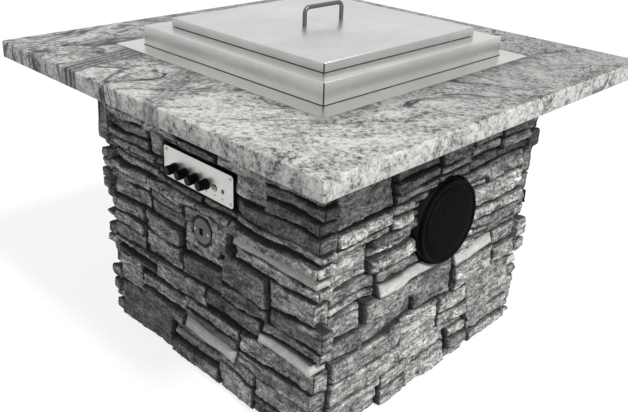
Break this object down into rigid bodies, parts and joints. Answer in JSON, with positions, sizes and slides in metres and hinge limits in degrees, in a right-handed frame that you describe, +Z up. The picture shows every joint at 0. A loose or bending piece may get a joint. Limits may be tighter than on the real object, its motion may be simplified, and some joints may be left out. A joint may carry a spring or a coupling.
{
  "type": "fire pit table",
  "caption": "Square fire pit table: granite slab on a stacked-stone base, lidded stainless gas burner, key valve, audio control plate and round speaker.",
  "frame": {"origin": "on the floor, under the middle of the base", "axes": "+Z up, -Y out of the face with the control plate, +X out of the face with the speaker"},
  "size_m": [1.06, 1.06, 0.8365],
  "materials": {
    "black_nylon": "matt moulded nylon",
    "frame_steel": "dark primer on mild steel",
    "cement_board": "bare fibre cement",
    "zinc_steel": "bright zinc plate",
    "ledgestone": "split grey stone with dark joints",
    "granite": "polished pale granite with dark wavy veins",
    "stainless_sheet": "polished stainless sheet",
    "lid_sheet": "polished stainless sheet",
    "handle_steel": "polished stainless rod",
    "lava_rock": "rough dark lava rock",
    "burner_steel": "heat-dulled stainless tube",
    "brass": "turned brass",
    "iron_pipe": "black iron pipe",
    "escutcheon_metal": "dull grey cast metal",
    "plate_metal": "satin silver plate",
    "black_plastic": "matt black plastic",
    "knob_plastic": "black moulded plastic",
    "gilt_metal": "gilt plated nuts",
    "amplifier_metal": "plain folded aluminium",
    "circuit_board": "green circuit board",
    "black_metal": "black painted metal",
    "magnet_iron": "dark ferrite",
    "black_rubber": "soft black rubber",
    "cone_paper": "coated black paper",
    "grille_metal": "black perforated grille",
    "white_nylon": "pale nylon"
  },
  "bodies": {
    "base": {"floor_glides": "black_nylon", "frame_posts": "frame_steel", "bottom_rails": "frame_steel", "top_rails": "frame_steel", "front_backer_board": "cement_board", "right_backer_board": "cement_board", "rear_backer_board": "cement_board", "left_backer_board": "cement_board", "board_screws": "zinc_steel", "front_stone_cladding": "ledgestone", "right_stone_cladding": "ledgestone", "rear_stone_cladding": "ledgestone", "left_stone_cladding": "ledgestone", "valve_surround_stone": "ledgestone", "granite_top": "granite", "burner_pan": "stainless_sheet", "raised_curb": "stainless_sheet", "lava_rock_bed": "lava_rock", "burner_ring": "burner_steel", "burner_locknut": "brass", "gas_pipe_run": "iron_pipe", "gas_inlet_pipe": "iron_pipe", "gas_inlet_coupling": "brass", "key_valve_body": "brass", "valve_sleeve": "zinc_steel", "valve_locknut": "zinc_steel", "valve_escutcheon": "escutcheon_metal", "escutcheon_screws": "zinc_steel", "control_plate": "plate_metal", "plate_screws": "zinc_steel", "plate_mounting_box": "black_plastic", "potentiometers": "zinc_steel", "panel_nuts": "gilt_metal", "audio_jack": "black_plastic", "mini_jack": "black_plastic", "amplifier_tray": "amplifier_metal", "amplifier_cover": "amplifier_metal", "amplifier_board": "circuit_board", "power_inlet": "black_plastic", "speaker_mounting_ring": "black_plastic", "speaker_basket": "black_metal", "speaker_magnet": "magnet_iron", "speaker_surround": "black_rubber", "speaker_grille": "grille_metal", "speaker_screws": "black_metal", "speaker_cable": "black_rubber", "cable_clips": "white_nylon"},
    "lid": {"lid_panel": "lid_sheet", "lid_handle": "handle_steel", "handle_screws": "zinc_steel"},
    "valve_plug": {"valve_stem": "brass"},
    "cone": {"speaker_cone": "cone_paper"},
    "knob_1": {"control_knob_1": "knob_plastic", "knob_shaft_1": "zinc_steel"},
    "knob_2": {"control_knob_2": "knob_plastic", "knob_shaft_2": "zinc_steel"},
    "knob_3": {"control_knob_3": "knob_plastic", "knob_shaft_3": "zinc_steel"},
    "knob_4": {"control_knob_4": "knob_plastic", "knob_shaft_4": "zinc_steel"}
  },
  "joints": [
    {"name": "lid_lift", "type": "slide", "parent": "base", "child": "lid", "axis": [0, 0, 1], "range_m": [0, 0.3]},
    {"name": "knob_1_turn", "type": "hinge", "parent": "base", "child": "knob_1", "pos_m": [-0.079, -0.37, 0.501], "axis": [0, 1, 0], "range_deg": [-150, 150]},
    {"name": "knob_2_turn", "type": "hinge", "parent": "base", "child": "knob_2", "pos_m": [-0.042, -0.37, 0.501], "axis": [0, 1, 0], "range_deg": [-150, 150]},
    {"name": "knob_3_turn", "type": "hinge", "parent": "base", "child": "knob_3", "pos_m": [-0.005, -0.37, 0.501], "axis": [0, 1, 0], "range_deg": [-150, 150]},
    {"name": "knob_4_turn", "type": "hinge", "parent": "base", "child": "knob_4", "pos_m": [0.032, -0.37, 0.501], "axis": [0, 1, 0], "range_deg": [-150, 150]},
    {"name": "valve_turn", "type": "hinge", "parent": "base", "child": "valve_plug", "pos_m": [0.011, -0.267, 0.379], "axis": [0, -1, 0], "range_deg": [0, 90]},
    {"name": "cone_travel", "type": "slide", "parent": "base", "child": "cone", "axis": [1, 0, 0], "range_m": [-0.004, 0.004], "stiffness_N_per_m": 900}
  ]
}
